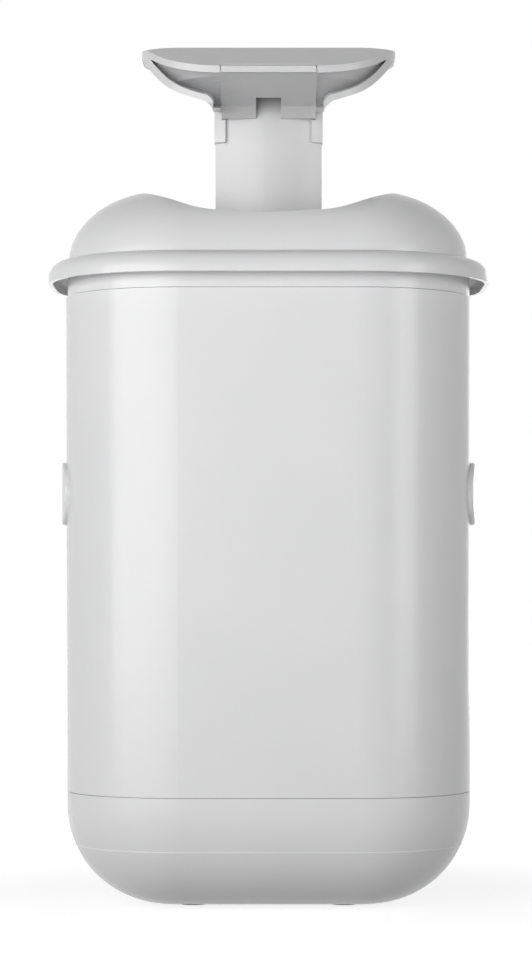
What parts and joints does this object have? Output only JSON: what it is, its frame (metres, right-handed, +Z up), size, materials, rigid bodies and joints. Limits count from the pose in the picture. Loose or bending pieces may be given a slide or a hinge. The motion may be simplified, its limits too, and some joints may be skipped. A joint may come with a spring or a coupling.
{
  "type": "dog waste bin",
  "caption": "Tall round-cornered pet waste pail with a bowl base, lift-off body, side release buttons, hinged dome lid and a push plunger with a T grip.",
  "frame": {"origin": "middle of the footprint, at the floor under the rubber feet", "axes": "+Z up, -Y the front, away from the lid's hinge, +X to the right seen from the front"},
  "size_m": [0.2748, 0.2028, 0.532],
  "materials": {
    "white_shell": "smooth high gloss moulding",
    "inner_plastic": "fine matt moulding",
    "bucket_plastic": "fine matt moulding",
    "soft_rubber": "matt",
    "steel": "zinc plated"
  },
  "bodies": {
    "base": {"base_bowl": "white_shell", "base_feet": "soft_rubber", "ballast_plate": "steel", "ballast_screws": "steel", "inner_bucket": "bucket_plastic", "bag_ring": "inner_plastic"},
    "body": {"body_shell": "white_shell", "collar_ring": "white_shell", "collar_screws": "steel", "hinge_pins": "steel", "throat_funnel": "inner_plastic", "funnel_screws": "steel", "flap_pins": "steel", "flap_springs": "steel", "button_guide_left": "inner_plastic", "button_guide_right": "inner_plastic", "guide_screws": "steel"},
    "lid": {"lid_shell": "white_shell", "lid_liner": "inner_plastic", "lid_screws": "steel", "lid_gasket": "soft_rubber", "plunger_guide": "inner_plastic", "stem_wiper": "soft_rubber"},
    "plunger": {"grip": "white_shell", "plunger_stem": "white_shell", "plunger_foot": "inner_plastic", "foot_screws": "steel", "foot_pad": "soft_rubber"},
    "flap_left": {"flap_left": "inner_plastic", "flap_lip_left": "soft_rubber"},
    "flap_right": {"flap_right": "inner_plastic", "flap_lip_right": "soft_rubber"},
    "button_left": {"button_left": "white_shell", "latch_bar_left": "inner_plastic", "button_spring_left": "steel"},
    "button_right": {"button_right": "white_shell", "latch_bar_right": "inner_plastic", "button_spring_right": "steel"}
  },
  "joints": [
    {"name": "body_lift", "type": "slide", "parent": "base", "child": "body", "axis": [0, 0, 1], "range_m": [0, 0.33]},
    {"name": "lid_hinge", "type": "hinge", "parent": "body", "child": "lid", "pos_m": [0, 0.095, 0.3834], "axis": [-1, 0, 0], "range_deg": [0, 100]},
    {"name": "plunger_slide", "type": "slide", "parent": "lid", "child": "plunger", "axis": [0, 0, 1], "range_m": [-0.088, 0]},
    {"name": "flap_left_hinge", "type": "hinge", "parent": "body", "child": "flap_left", "pos_m": [-0.064, 0, 0.32], "axis": [0, 1, 0], "range_deg": [0, 76]},
    {"name": "flap_right_hinge", "type": "hinge", "parent": "body", "child": "flap_right", "pos_m": [0.064, 0, 0.32], "axis": [0, -1, 0], "range_deg": [0, 76]},
    {"name": "button_left_press", "type": "slide", "parent": "body", "child": "button_left", "axis": [1, 0, 0], "range_m": [0, 0.003], "stiffness_N_per_m": 600, "springref_m": -0.002, "deforming": ["button_spring_left"]},
    {"name": "button_right_press", "type": "slide", "parent": "body", "child": "button_right", "axis": [-1, 0, 0], "range_m": [0, 0.003], "stiffness_N_per_m": 600, "springref_m": -0.002, "deforming": ["button_spring_right"]}
  ],
  "couplings": [
    {"joint": "flap_left_hinge", "follows": "plunger_slide", "rad_per_m": -14.875},
    {"joint": "flap_right_hinge", "follows": "plunger_slide", "rad_per_m": -14.875}
  ]
}
